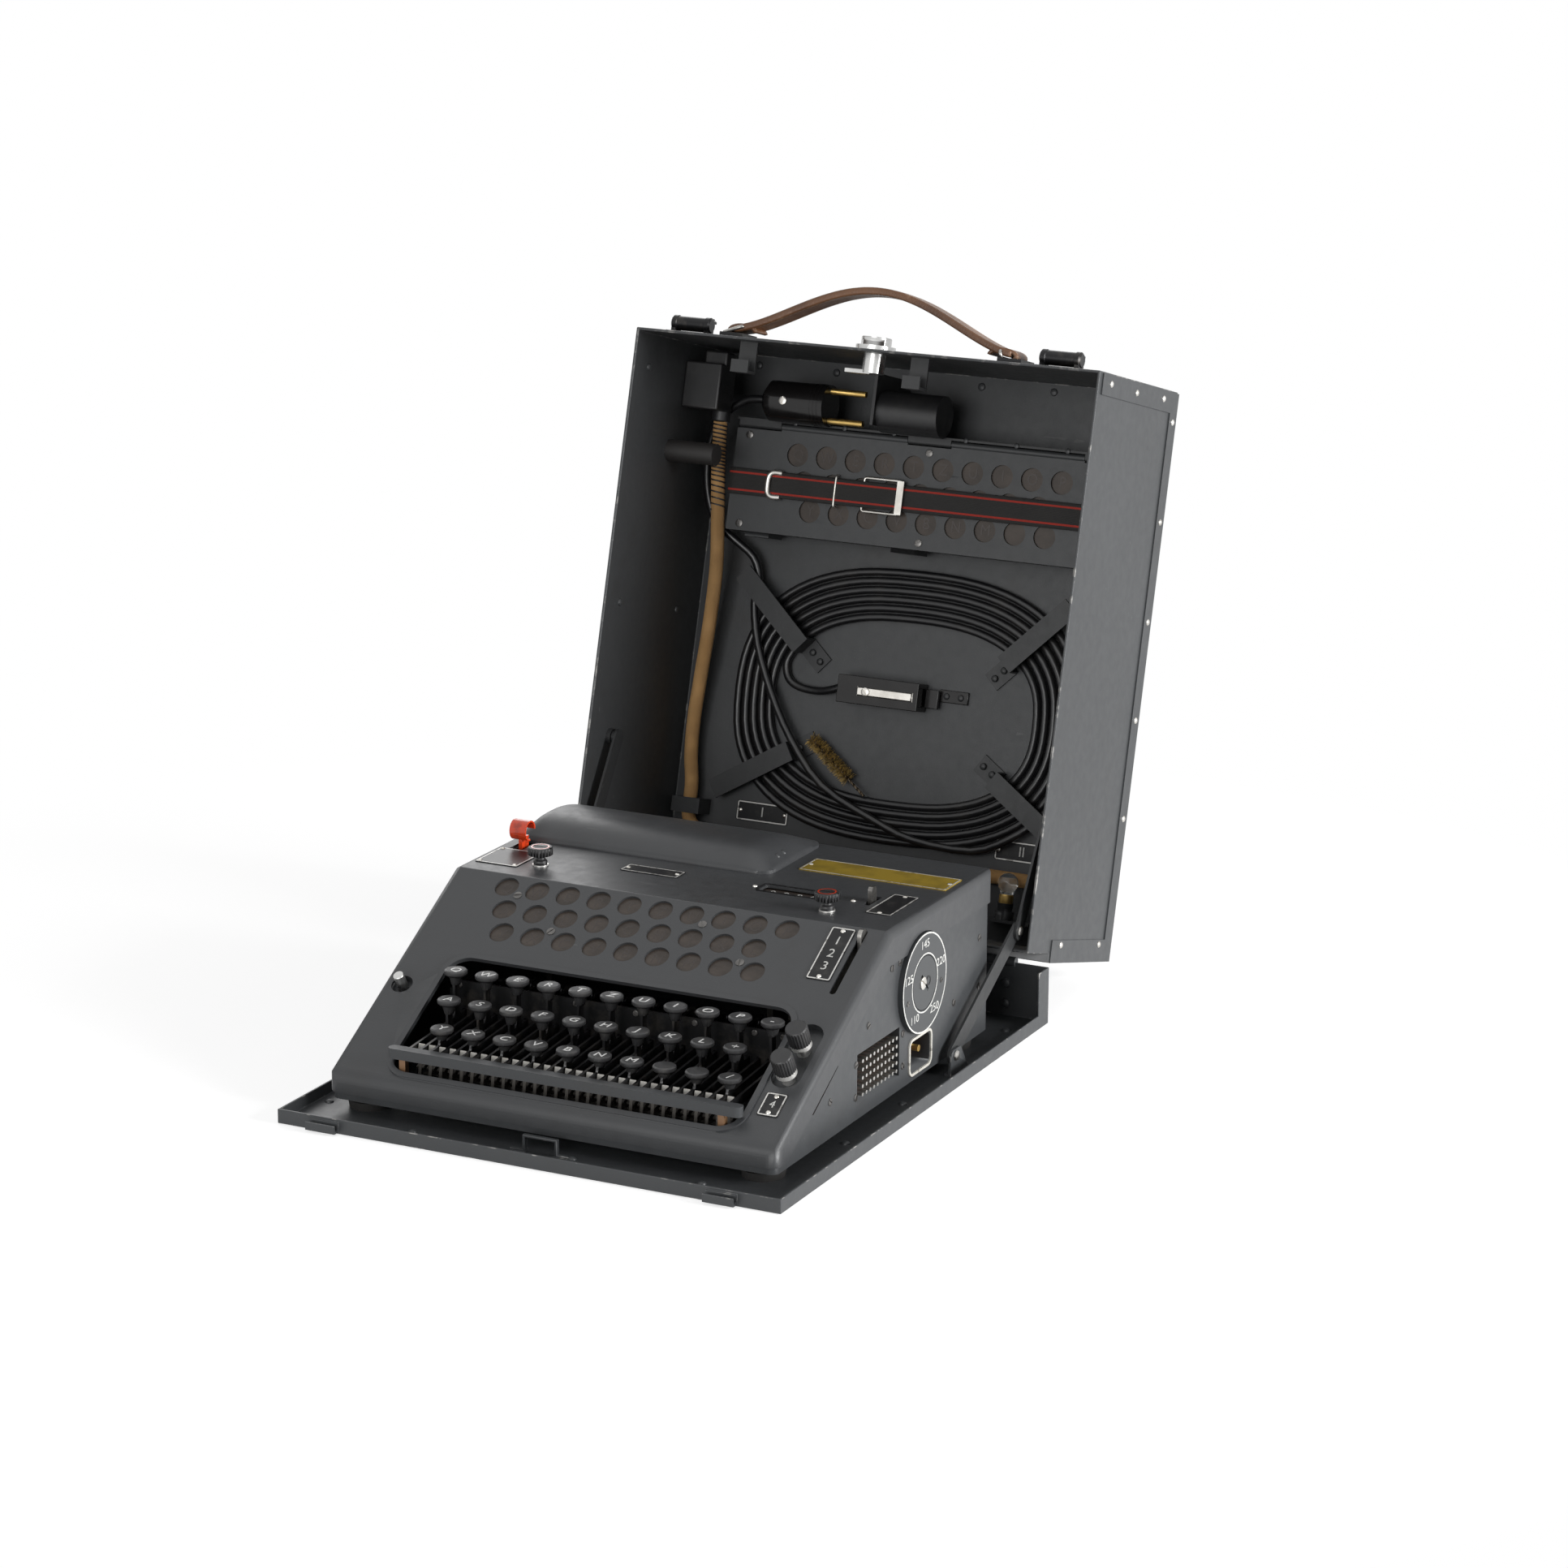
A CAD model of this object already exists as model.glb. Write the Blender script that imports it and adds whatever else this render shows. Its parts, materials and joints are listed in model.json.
import json
import random
from math import atan2, copysign, cos, pi, radians, sin, sqrt

import bmesh
import bpy
from mathutils import Matrix, Vector


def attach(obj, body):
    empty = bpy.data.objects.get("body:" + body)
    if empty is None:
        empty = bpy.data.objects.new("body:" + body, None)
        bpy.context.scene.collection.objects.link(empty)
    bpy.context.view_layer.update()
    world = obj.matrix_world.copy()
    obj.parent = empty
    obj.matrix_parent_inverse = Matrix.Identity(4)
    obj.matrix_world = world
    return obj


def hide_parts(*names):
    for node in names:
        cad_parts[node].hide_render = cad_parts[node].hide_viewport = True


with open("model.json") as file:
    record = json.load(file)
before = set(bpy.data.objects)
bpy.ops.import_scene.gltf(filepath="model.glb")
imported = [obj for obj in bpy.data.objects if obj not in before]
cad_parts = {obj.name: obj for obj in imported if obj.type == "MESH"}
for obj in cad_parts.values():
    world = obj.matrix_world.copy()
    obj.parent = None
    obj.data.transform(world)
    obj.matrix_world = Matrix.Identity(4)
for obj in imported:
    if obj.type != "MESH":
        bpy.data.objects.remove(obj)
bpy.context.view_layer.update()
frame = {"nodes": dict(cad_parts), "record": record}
ops, data, scene = bmesh.ops, bpy.data, bpy.context.scene


# Camera: a long lens from the front right, a little above the deck.
# Its place and turn come from a fit to the straight edges of the case.
PICTURE, FOCAL, CENTRE_X, CENTRE_Y = 1932, 5749.3, 1046.0, 804.0


def turn_by(angle, axis):
    return Matrix.Rotation(angle, 4, axis)


def look(azimuth, elevation, roll):
    a, e, r = radians(azimuth), radians(elevation), radians(roll)
    back = Vector((sin(a) * cos(e), -cos(a) * cos(e), sin(e)))
    across = Vector((0, 0, 1)).cross(back).normalized()
    up = back.cross(across)
    turned = Matrix((cos(r) * across + sin(r) * up, -sin(r) * across + cos(r) * up, back))
    return turned.transposed().to_4x4()


def in_scene(name, content):
    made = data.objects.new(name, content)
    scene.collection.objects.link(made)
    return made


shift = Matrix.Translation
lens = data.cameras.new("camera")
lens.sensor_width = 36
lens.lens = 36 * FOCAL / PICTURE
lens.shift_x = (PICTURE / 2 - CENTRE_X) / PICTURE
lens.shift_y = (CENTRE_Y - PICTURE / 2) / PICTURE
lens.clip_end = 30
scene.camera = in_scene("camera", lens)
scene.camera.matrix_world = shift((1.21527, -2.30919, 0.90523)) @ look(25.566, 13.997, 0.506)
scene.view_settings.view_transform = "Standard"


# A finish is a shader made of sockets that do their own sums: s * 2 + t adds
# Math nodes, and node() adds any other node with its settings and its inputs.
# A finish that whole pieces are made of also names their material slot.
class Socket:
    def __init__(self, owner, socket):
        self.owner, self.socket = owner, socket

    def maths(self, kind, *values):
        return self.owner.node("Math", {"operation": kind}, list(values))

    def __add__(self, other):
        return self.maths("ADD", self, other)

    def __sub__(self, other):
        return self.maths("SUBTRACT", self, other)

    def __rsub__(self, other):
        return self.maths("SUBTRACT", other, self)

    def __mul__(self, other):
        return self.maths("MULTIPLY", self, other)

    def __gt__(self, other):
        return self.maths("GREATER_THAN", self, other)

    def __lt__(self, other):
        return self.maths("LESS_THAN", self, other)

    def fold(self, period):
        return self.maths("PINGPONG", self, period)

    def between(self, low, high):
        return (self > low) * (self < high)

    __radd__, __rmul__ = __add__, __mul__


class Shader:
    def __init__(self, holder, main):
        holder.use_nodes = True
        self.tree = holder.node_tree
        self.main = self.tree.nodes[main]

    def put(self, key, value):
        if isinstance(value, Socket):
            self.tree.links.new(value.socket, self.main.inputs[key])
        else:
            self.main.inputs[key].default_value = value

    def node(self, kind, settings, values, out=0):
        n = self.tree.nodes.new("ShaderNode" + kind)
        for key, value in settings.items():
            setattr(n, key, value)
        pairs = values.items() if isinstance(values, dict) else enumerate(values)
        for key, value in pairs:
            if isinstance(value, Socket):
                self.tree.links.new(value.socket, n.inputs[key])
            elif value is not None:
                n.inputs[key].default_value = value
        return Socket(self, n.outputs[out])

    def seen(self):
        kinds = ("Camera", "Glossy", "Transmission")
        camera, glossy, through = (self.node("LightPath", {}, {}, f"Is {kind} Ray") for kind in kinds)
        return camera.maths("MAXIMUM", camera.maths("MAXIMUM", camera, glossy), through)


class Finish(Shader):
    def __init__(self, name, slot, colour, rough=0.5, metal=0.0, **fixed):
        self.material = data.materials.new(name)
        super().__init__(self.material, "Principled BSDF")
        self.slot = slot
        self.material.diffuse_color = (*colour, 1)
        self.put("Base Color", (*colour, 1))
        self.put("Roughness", rough)
        self.put("Metallic", metal)
        for key, value in fixed.items():
            self.put(key.replace("_", " "), value)

    def place(self, turn=(0, 0, 0), stretch=(1, 1, 1)):
        at = self.node("TexCoord", {}, {}, "Object")
        return self.node("Mapping", {}, {"Vector": at, "Rotation": turn, "Scale": stretch})

    def round_and_along(self):
        uv = self.node("TexCoord", {}, {}, "UV")
        return [self.node("SeparateXYZ", {}, [uv], i) for i in (0, 1)]

    def noise(self, size, detail=3.0, **where):
        values = {"Vector": self.place(**where), "Scale": size, "Detail": detail, "Roughness": 0.55}
        return self.node("TexNoise", {}, values)

    def cells(self, size):
        return self.node("TexVoronoi", {}, {"Vector": self.place(), "Scale": size}, "Distance")

    def steps(self, value, low, high):
        values = {"Value": value, "From Min": low, "From Max": high}
        return self.node("MapRange", {}, values)

    def mix(self, share, first, second):
        tint = [c if isinstance(c, Socket) else (*c, 1) for c in (first, second)]
        return self.node("Mix", {"data_type": "RGBA"}, {0: share, 6: tint[0], 7: tint[1]}, 2)

    def relief(self, *layers):
        normal = None
        for height, strength, distance in layers:
            values = {"Height": height, "Strength": strength, "Distance": distance, "Normal": normal}
            normal = self.node("Bump", {}, values)
        self.put("Normal", normal)

    def mottle(self, size, detail, first, second, span=None, **where):
        share = self.noise(size, detail, **where)
        self.put("Base Color", self.mix(self.steps(share, *span) if span else share, first, second))

    def chip(self, size, detail, level, share, first, second):
        self.put("Base Color", self.mix((self.noise(size, detail) > level) * share, first, second))

    def sheen(self, size, detail, low, high):
        self.put("Roughness", self.steps(self.noise(size, detail), low, high))


# Slate enamel of the case and machine: satin, faintly orange-peeled, dusty on
# top and rubbed through to pale metal along the folded edges.
GRIME, PALE_METAL = (0.03, 0.026, 0.022), (0.36, 0.35, 0.33)


def enamel(name, colour, rough=0.42, chips=1.0, soil=0.35):
    f = Finish(name, "slate_paint", colour, rough, Specular_IOR_Level=0.45)
    cloud = f.noise(9, 4)
    fine = f.noise(160, 3)
    tint = f.mix(f.steps(cloud, 0.3, 0.75), [c * 0.92 for c in colour], [c * 1.08 for c in colour])
    tint = f.mix(f.steps(f.noise(19, 5), 0.58, 0.82) * soil, tint, GRIME)
    speck = (f.cells(750) < 0.1) * (f.noise(60, 2) > 0.58)
    tint = f.mix(speck * 0.35, tint, (0.22, 0.22, 0.21))
    scratch = (f.noise(14, 2, stretch=(1, 14, 9), turn=(0.3, 0.5, 0.7)) > 0.735) * (f.noise(30, 1) > 0.55)
    tint = f.mix(scratch * 0.25, tint, (0.16, 0.16, 0.16))
    edge = f.node("Attribute", {"attribute_name": "folded_edge"}, {}, "Fac")
    rub = edge * f.steps(f.noise(130, 6), 0.54, 0.66) * chips
    tint = f.mix(edge * 0.3, tint, [c * 1.6 for c in colour])
    f.put("Base Color", f.mix(rub, tint, PALE_METAL))
    f.put("Roughness", f.steps(fine, -1.4, 2.4) * (rough * 2.0) + speck * 0.2)
    f.relief((f.noise(1400, 2), 0.1, 0.0004), (fine, 0.08, 0.001))
    return f


case_paint = enamel("slate_enamel", (0.047, 0.05, 0.053))
cover_paint = enamel("cover_enamel", (0.05, 0.052, 0.055), 0.4, 0.7)
dark_paint = enamel("dark_enamel", (0.024, 0.025, 0.026), 0.48, 0.5)
inner_paint = enamel("lid_enamel", (0.047, 0.049, 0.051), 0.46, 0.5, soil=0.5)

# A CAD node is shown as a merged copy of its own mesh, so that its curves
# shade smoothly and its faces can carry more than one finish. Places are in
# millimetres on the tray, along the slope or in the leaning lid.
MM = 0.001
TRAY = shift((-0.16, -0.1825, 0)) @ Matrix.Scale(MM, 4)
SLOPE = TRAY @ shift((16, 164.8, 103.955)) @ turn_by(radians(30.08), "X")
LID = TRAY @ shift((1.95, 336.692, 51.862)) @ turn_by(radians(-15.33), "X")
BODY_OF = {n: b for b, ns in frame["record"]["behaviour"]["bodies"].items() for n in ns}
SPARE = BODY_OF["spare_lamp_panel"]
LID_BODIES = ["lid", SPARE, *(BODY_OF[node] for node in ("left_latch", "right_latch", "lid_lock"))]


def home(body, frame_of=None):
    return frame_of or (LID if body in LID_BODIES else TRAY)


def show(name, mesh, finishes, body, node=None, crease=32):
    mesh.set_sharp_from_angle(angle=radians(crease))
    for f in finishes:
        mesh.materials.append(f.material)
    piece = in_scene(name, mesh)
    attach(piece, body)
    if node:
        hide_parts(node)
    return piece


def as_mesh(bm, name):
    mesh = data.meshes.new(name)
    bm.to_mesh(mesh)
    bm.free()
    return mesh


def dress(node, name, *finishes, pick=None, frame_of=None, soften=0.0, edges=0.0, crease=32, slot=None,
          leave_out=None):
    bm = bmesh.new()
    bm.from_mesh(frame["nodes"][node].data)
    ops.remove_doubles(bm, verts=bm.verts, dist=2e-6)
    ops.dissolve_degenerate(bm, edges=bm.edges, dist=1e-6)
    ops.dissolve_limit(bm, angle_limit=radians(0.4), verts=bm.verts, edges=bm.edges)
    worn = bm.faces.layers.float.new("folded_edge")
    if soften:
        long = [e for e in bm.edges
                if e.is_manifold and e.calc_length() > edges * MM and e.calc_face_angle() > 0.7]
        made = ops.bevel(bm, geom=long, offset=soften * MM, offset_type="OFFSET", affect="EDGES",
                               segments=2, profile=0.5, material=-1, clamp_overlap=False)
        for face in made["faces"]:
            face[worn] = 1.0
    back = home(BODY_OF[node], frame_of).inverted()
    if leave_out:
        gone = [face for face in bm.faces if leave_out(back @ face.calc_center_median())]
        ops.delete(bm, geom=gone, context="FACES")
    for face in bm.faces:
        face.smooth = True
        if pick:
            face.material_index = int(pick(back @ face.calc_center_median(), face))
    piece = show(name, as_mesh(bm, name), finishes, BODY_OF[node], node, crease)
    piece.modifiers.new("flat faces stay flat", "WEIGHTED_NORMAL").keep_sharp = True


# Tray: a folded steel pan with a low rim, a high back wall with the hinge
# knuckles, latch catches, the lock's bridge and the feet of the stays.
dress("base_tray", "tray", case_paint, soften=0.45, edges=6)


# Domed rivets: small heads that are pulled down on a seat, one lathe for all
# of them, turned to stand on the face that each row belongs to.
def added(bm, before):
    return [v for v in bm.verts if v not in before]


def lathe(bm, outline, at=Matrix.Identity(4), steps=24):
    before = set(bm.verts)
    verts = [bm.verts.new((x, 0, z)) for x, z in outline]
    edges = [bm.edges.new(pair) for pair in zip(verts, verts[1:])]
    ops.spin(bm, geom=verts + edges, cent=(0, 0, 0), axis=(0, 0, 1), angle=2 * pi, steps=steps,
                   use_merge=True)
    ops.remove_doubles(bm, verts=added(bm, before), dist=1e-4)
    ops.transform(bm, matrix=at, verts=added(bm, before))


def solid(name, build, sizes, finish, body="case", frame_of=None, node=None, crease=32, flat=False):
    bm = bmesh.new()
    build(bm, *sizes)
    ops.recalc_face_normals(bm, faces=bm.faces)
    ops.transform(bm, matrix=home(body, frame_of), verts=bm.verts)
    for face in bm.faces:
        face.smooth = not flat
    return show(name, as_mesh(bm, name), [finish], body, node, crease)


def facing(at, way, spin=0.0):
    lean = Vector((0, 0, 1)).rotation_difference(Vector(way)).to_matrix().to_4x4()
    return shift(at) @ lean @ turn_by(spin, "Z")


def rivets(name, spots, width, rise, finish, body="case", frame_of=None):
    def build(bm):
        r = width / 2
        dome = [(r, -0.25), (r, 0.05), (r * 0.85, rise * 0.55), (r * 0.5, rise * 0.9), (0, rise)]
        for at, way in spots:
            lathe(bm, dome, facing(at, way), 14)
    solid(name, build, (), finish, body, frame_of)


UP, FRONT, REAR, LEFT, RIGHT = (0, 0, 1), (0, -1, 0), (0, 1, 0), (-1, 0, 0), (1, 0, 0)
floor_spots = [
    (304.6, 112.7), (305.3, 187.4), (305, 335.8), (9, 41), (9, 190), (78, 18.5), (179.6, 21), (262, 19)]
rivets("tray_rivets", [((x, y, 1.5), UP) for x, y in floor_spots], 5.6, 1.5, case_paint)
rivets("back_wall_rivets", [((x, 363.5, z), FRONT) for x in (24, 92, 160, 228, 292) for z in (9, 22)], 6.4, 1.6,
       case_paint)
rivets("rear_rivets", [((x, 365, z), REAR) for x in (40, 100, 160, 220, 280) for z in (9, 22)], 4.6, 1.2,
       case_paint)


# Chassis: pan and side plates of enamelled steel. On the right side it carries
# the voltage plate, the pin connector on its brown board and the mains inlet.
steel_pin = Finish("tinned_pins", None, (0.55, 0.54, 0.51), 0.28, 0.95)
brown_board = Finish("brown_board", "bakelite", (0.055, 0.018, 0.011), 0.42)
brown_board.mottle(120, 3, (0.035, 0.012, 0.008), (0.085, 0.028, 0.016))
brass = Finish("brass", "brass_wire", (0.62, 0.42, 0.13), 0.27, 1.0)
brass.sheen(220, 4, -0.6, 1.9)
brass.mottle(90, 4, (0.42, 0.26, 0.08), (0.72, 0.52, 0.19))
foot_rubber = Finish("foot_rubber", None, (0.018, 0.017, 0.016), 0.72)
foot_rubber.relief((foot_rubber.noise(900, 3), 0.3, 0.0005))
plate_grey = Finish("plate_enamel", None, (0.036, 0.039, 0.042), 0.34)
plate_grey.mottle(40, 5, (0.031, 0.034, 0.036), (0.042, 0.046, 0.049))
inner_steel = Finish("transformer_steel", None, (0.1, 0.095, 0.085), 0.5, 0.6)
SIDE_X, PLATE_X, PLATE_Y, PLATE_Z = 302.0, 305.2, 215.9, 66.7


def chassis_part(p, face):
    x, y, z = p
    if x > 299 and face.calc_area() > 0.005:
        return 0
    if x > 291 and 132.6 < y < 188.4 and 18.1 < z < 47.4:
        return 1 if x > 292.3 else 2
    if 289 < x < 301.5 and 208 < y < 226 and 20 < z < 27.5:
        return 3
    if z < 9.05:
        return 4
    if x > SIDE_X + 0.05 and (y - PLATE_Y) ** 2 + (z - PLATE_Z) ** 2 < 31 ** 2:
        return 5
    return 6 if 28 < x < 287 and 235 < y < 312 and 10.7 < z < 107 else 0


dress("machine_chassis", "chassis", case_paint, steel_pin, brown_board, brass, foot_rubber, plate_grey,
      inner_steel, pick=chassis_part)

# Side screws: countersunk and cheese-headed steel screws, blued or nickelled,
# each turned a little differently. The head is two halves with a slot between.
blued = Finish("blued_screws", "hinge_steel", (0.1, 0.1, 0.1), 0.36, 0.9)
blued.mottle(300, 3, (0.05, 0.05, 0.05), (0.22, 0.21, 0.2))
nickel = Finish("nickel_plate", "nickel", (0.62, 0.6, 0.56), 0.24, 1.0)
nickel.mottle(70, 6, (0.7, 0.68, 0.64), (0.4, 0.38, 0.34), (0.35, 0.75))
nickel.sheen(260, 5, -0.5, 2.2)


def screws(name, spots, width, rise, slot_width=0.9, finish=blued, body="case", frame_of=None):
    def build(bm):
        r = width / 2
        head = [(0, -0.3), (r, -0.3), (r, rise * 0.7), (r * 0.82, rise), (0, rise)]
        for at, way, spin in spots:
            seat = facing(at, way, spin)
            for side in (-1, 1):
                before = set(bm.verts)
                lathe(bm, head, steps=20)
                half = added(bm, before)
                half += [e for e in bm.edges if e.verts[0] not in before]
                half += [f for f in bm.faces if f.verts[0] not in before]
                cut = ops.bisect_plane(bm, geom=half, plane_co=(side * slot_width / 2, 0, 0),
                                             plane_no=(-side, 0, 0), clear_outer=True)
                rim = [e for e in cut["geom_cut"] if isinstance(e, bmesh.types.BMEdge)]
                ops.edgeloop_fill(bm, edges=rim)
                ops.transform(bm, matrix=seat, verts=added(bm, before))
            lathe(bm, [(0, -0.3), (r * 0.97, -0.3), (r * 0.97, rise * 0.3), (0, rise * 0.3)], seat, 20)
    solid(name, build, (), finish, body, frame_of)


right_spots = [
    (146.8, 60.7, 0.4), (193.2, 42, 1.1), (193.3, 22.5, 2.0), (131, 41.9, 0.2), (130.7, 22.6, 0.9),
    (97.6, 30.5, 2.4), (177.8, 85.8, 1.4), (188.5, 86.4, 0.1), (264, 40, 0.7), (300, 40, 1.9), (300, 70, 0.3)]
left_spots = [
    (60, 24, 0.4), (120, 30, 1.3), (180, 30, 0.2), (240, 30, 2.2), (300, 30, 0.8), (300, 75, 1.9), (200, 75, 0.5)]
slope_spots = [(66.8, 5.5, 1.9), (100.4, 28.9, 2.6), (189.4, 5.8, 0.6), (224.2, 29.8, 0.2)]
plate_spots = [(PLATE_Y + 23.6 * cos(radians(a)), PLATE_Z + 23.6 * sin(radians(a)), a) for a in (-12, -164)]
screws("side_screws", [((SIDE_X, y, z), RIGHT, spin) for y, z, spin in right_spots], 4.4, 0.5)
screws("left_screws", [((17.6, y, z), LEFT, spin) for y, z, spin in left_spots], 4.4, 0.5)
screws("slope_screws", [((x - 16, -down, 0.05), UP, spin) for x, down, spin in slope_spots], 5.2, 0.5,
       frame_of=SLOPE)
screws("voltage_screws", [((PLATE_X, y, z), RIGHT, spin) for y, z, spin in plate_spots], 3.4, 0.4)
screws("dial_screw", [((304.9, 213.3, 67.2), RIGHT, 2.5)], 7.6, 1.3, 1.2, nickel, "dial")


# Voltage plate: two white rings and five plain numbers on grey enamel. A coin
# slot turns the black selector disc in its middle.
white_ink = Finish("white_ink", "nickel", (0.7, 0.7, 0.67), 0.5)
white_ink.chip(420, 5, 0.6, 0.5, (0.74, 0.74, 0.71), (0.36, 0.36, 0.35))
black_moulding = Finish("black_moulding", "bakelite", (0.016, 0.016, 0.017), 0.34)
black_moulding.sheen(180, 4, -1.2, 2.6)
handled = black_moulding.steps(black_moulding.noise(50, 5), 0.5, 0.8) * 0.6
black_moulding.put("Base Color", black_moulding.mix(handled, (0.015, 0.015, 0.016), (0.045, 0.043, 0.04)))
dress("voltage_dial", "voltage_selector", plate_grey)


def ring(bm, outer, inner, thick, at, steps=72):
    lathe(bm, [(inner, 0), (outer, 0), (outer, thick), (inner, thick), (inner, 0)], at, steps)


side_face = turn_by(pi / 2, "Z") @ turn_by(pi / 2, "X")
dial_face = shift((PLATE_X, PLATE_Y, PLATE_Z)) @ side_face


def dial_rings(bm):
    ring(bm, 29.9, 28.95, 0.12, dial_face)
    ring(bm, 17.8, 17.0, 0.12, dial_face)


solid("voltage_rings", dial_rings, (), white_ink)
solid("selector_hole", ring, (3.0, 2.3, 0.25, dial_face @ shift((5, 0, 0)), 28), black_moulding, "dial")


def mesh_of(curve):
    holder = in_scene(curve.name, curve)
    bpy.context.view_layer.update()
    mesh = data.meshes.new_from_object(holder.evaluated_get(bpy.context.evaluated_depsgraph_get()))
    data.objects.remove(holder)
    mesh.materials.clear()
    return mesh


def words(name, text, size, at, finish, body="case", frame_of=None, thick=0.04, narrow=1.0):
    curve = data.curves.new(name, "FONT")
    curve.body = text
    curve.size = size
    curve.extrude = thick
    curve.resolution_u = 3
    curve.align_x, curve.align_y = "CENTER", "CENTER"
    mesh = mesh_of(curve)
    mesh.transform(home(body, frame_of) @ at @ Matrix.Diagonal((narrow, 1, 1, 1)))
    show(name, mesh, [finish], body)


for number, angle in (("145", 90), ("220", 18), ("250", -54), ("110", -126), ("125", 162)):
    spot = shift((23.2 * cos(radians(angle)), 23.2 * sin(radians(angle)), 0.06))
    words(f"volts_{number}", number, 7, dial_face @ spot, white_ink, narrow=1.15)


# Mains inlet: a pressed frame, enamelled off-white, round the two pins, and a
# copper-brown insulating strip seen through the slot near the front.
def rounded_face(bm, width, height, radius):
    before = set(bm.verts)
    ops.create_grid(bm, x_segments=1, y_segments=1, size=0.5, matrix=Matrix.Diagonal((width, height, 1, 1)))
    ops.bevel(bm, geom=added(bm, before), offset=radius, offset_type="OFFSET", affect="VERTICES",
                    segments=6, profile=0.5, material=-1)
    return before, next(f for f in bm.faces if f.verts[0] not in before)


def pull(bm, faces, way):
    top = ops.extrude_face_region(bm, geom=faces)["geom"]
    ops.translate(bm, vec=way, verts=[v for v in top if isinstance(v, bmesh.types.BMVert)])


def rounded_sheet(bm, width, height, radius, thick, at):
    before, face = rounded_face(bm, width, height, radius)
    pull(bm, [face], (0, 0, thick))
    ops.transform(bm, matrix=at, verts=added(bm, before))


def hoop(bm, width, height, radius, band, thick, at):
    before, face = rounded_face(bm, width, height, radius)
    ops.inset_region(bm, faces=[face], thickness=band, use_even_offset=True, use_boundary=True)
    ops.delete(bm, geom=[face], context="FACES")
    pull(bm, [f for f in bm.faces if f.verts[0] not in before], (0, 0, thick))
    ops.transform(bm, matrix=at, verts=added(bm, before))


off_white = Finish("off_white_enamel", "nickel", (0.62, 0.6, 0.54), 0.35)
off_white.chip(260, 5, 0.62, 0.7, (0.66, 0.64, 0.58), (0.2, 0.18, 0.15))
copper_strip = Finish("copper_strip", "bakelite", (0.2, 0.075, 0.035), 0.4)
copper_strip.mottle(150, 4, (0.1, 0.035, 0.018), (0.3, 0.12, 0.06))
inlet_face, inlet_back = (shift((x, 216.7, 23.7)) @ side_face for x in (SIDE_X, 290.45))
strip_face = shift((299.6, 90.8, 40.9)) @ side_face @ turn_by(atan2(17.8, 29.6), "Z")
solid("inlet_frame", hoop, (31.6, 22.8, 5, 1.5, 0.9, inlet_face), off_white)
solid("inlet_floor", rounded_sheet, (26.8, 18, 4, 0.2, inlet_back), brown_board)
solid("slot_lining", rounded_sheet, (37, 3.4, 1.6, 0.3, strip_face), copper_strip)


# Machine cover: one pressed shell in satin enamel, with the windows, the key
# well with its rolled rim, the deck and every control slot.
dress("top_cover", "machine_cover", cover_paint, crease=40)


# Hump over the rotors: a drawn sheet whose rim stands on the deck. It rises
# fast at the front, is crowned, and falls away slowly to the rear.
DECK_Z, HUMP_CORNER, HUMP_RIM, HUMP_RISE = 109, 10, 2, 10.4
HUMP_LEFT, HUMP_RIGHT, HUMP_FRONT, HUMP_REAR = 20, 192, 240, 314.7


def hump_height(x, y):
    deep = y - HUMP_FRONT
    front = 1 - (1 - min(deep / 30, 1)) ** 2.6
    rear = 1 - max((deep - 34) / (HUMP_REAR - HUMP_FRONT - 34), 0) ** 1.9
    left = 1 - (1 - min((x - HUMP_LEFT) / 13, 1)) ** 2.4
    right = 1 - (1 - min((HUMP_RIGHT - x) / 22, 1)) ** 2.0
    return HUMP_RIM + HUMP_RISE * max(front * rear * left * right, 0)


def rotor_hump(bm):
    half_x, half_y = (HUMP_RIGHT - HUMP_LEFT) / 2, (HUMP_REAR - HUMP_FRONT) / 2
    middle_x, middle_y = (HUMP_RIGHT + HUMP_LEFT) / 2, (HUMP_REAR + HUMP_FRONT) / 2
    ops.create_grid(bm, x_segments=86, y_segments=38, size=1)
    for v in bm.verts:
        x, y = v.co.x * half_x, v.co.y * half_y
        v.co.z = DECK_Z + hump_height(middle_x + x, middle_y + y)
        out_x, out_y = ((abs(a) - half + HUMP_CORNER) / HUMP_CORNER for a, half in ((x, half_x), (y, half_y)))
        if out_x > 0 and out_y > 0:
            x = copysign(half_x - HUMP_CORNER + HUMP_CORNER * out_x * sqrt(1 - out_y ** 2 / 2), x)
            y = copysign(half_y - HUMP_CORNER + HUMP_CORNER * out_y * sqrt(1 - out_x ** 2 / 2), y)
        v.co.x, v.co.y = middle_x + x, middle_y + y
    rim = [e for e in bm.edges if e.is_boundary]
    skirt = ops.extrude_edge_only(bm, edges=rim)["geom"]
    for v in (g for g in skirt if isinstance(g, bmesh.types.BMVert)):
        v.co.z = DECK_Z
    ops.edgeloop_fill(bm, edges=[e for e in bm.edges if e.is_boundary])


solid("rotor_hump", rotor_hump, (), cover_paint, node="rotor_hood", crease=62)
hump_spots = [((186.9, y, DECK_Z + hump_height(186.9, y)), (0.57, 0, 0.82)) for y in (262, 270)]
hump_spots += [((x, 312.6, DECK_Z + hump_height(x, 312.6)), (0, 0.42, 0.9)) for x in (40, 90, 140, 165)]
rivets("hump_rivets", hump_spots, 3.4, 0.8, cover_paint)

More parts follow.
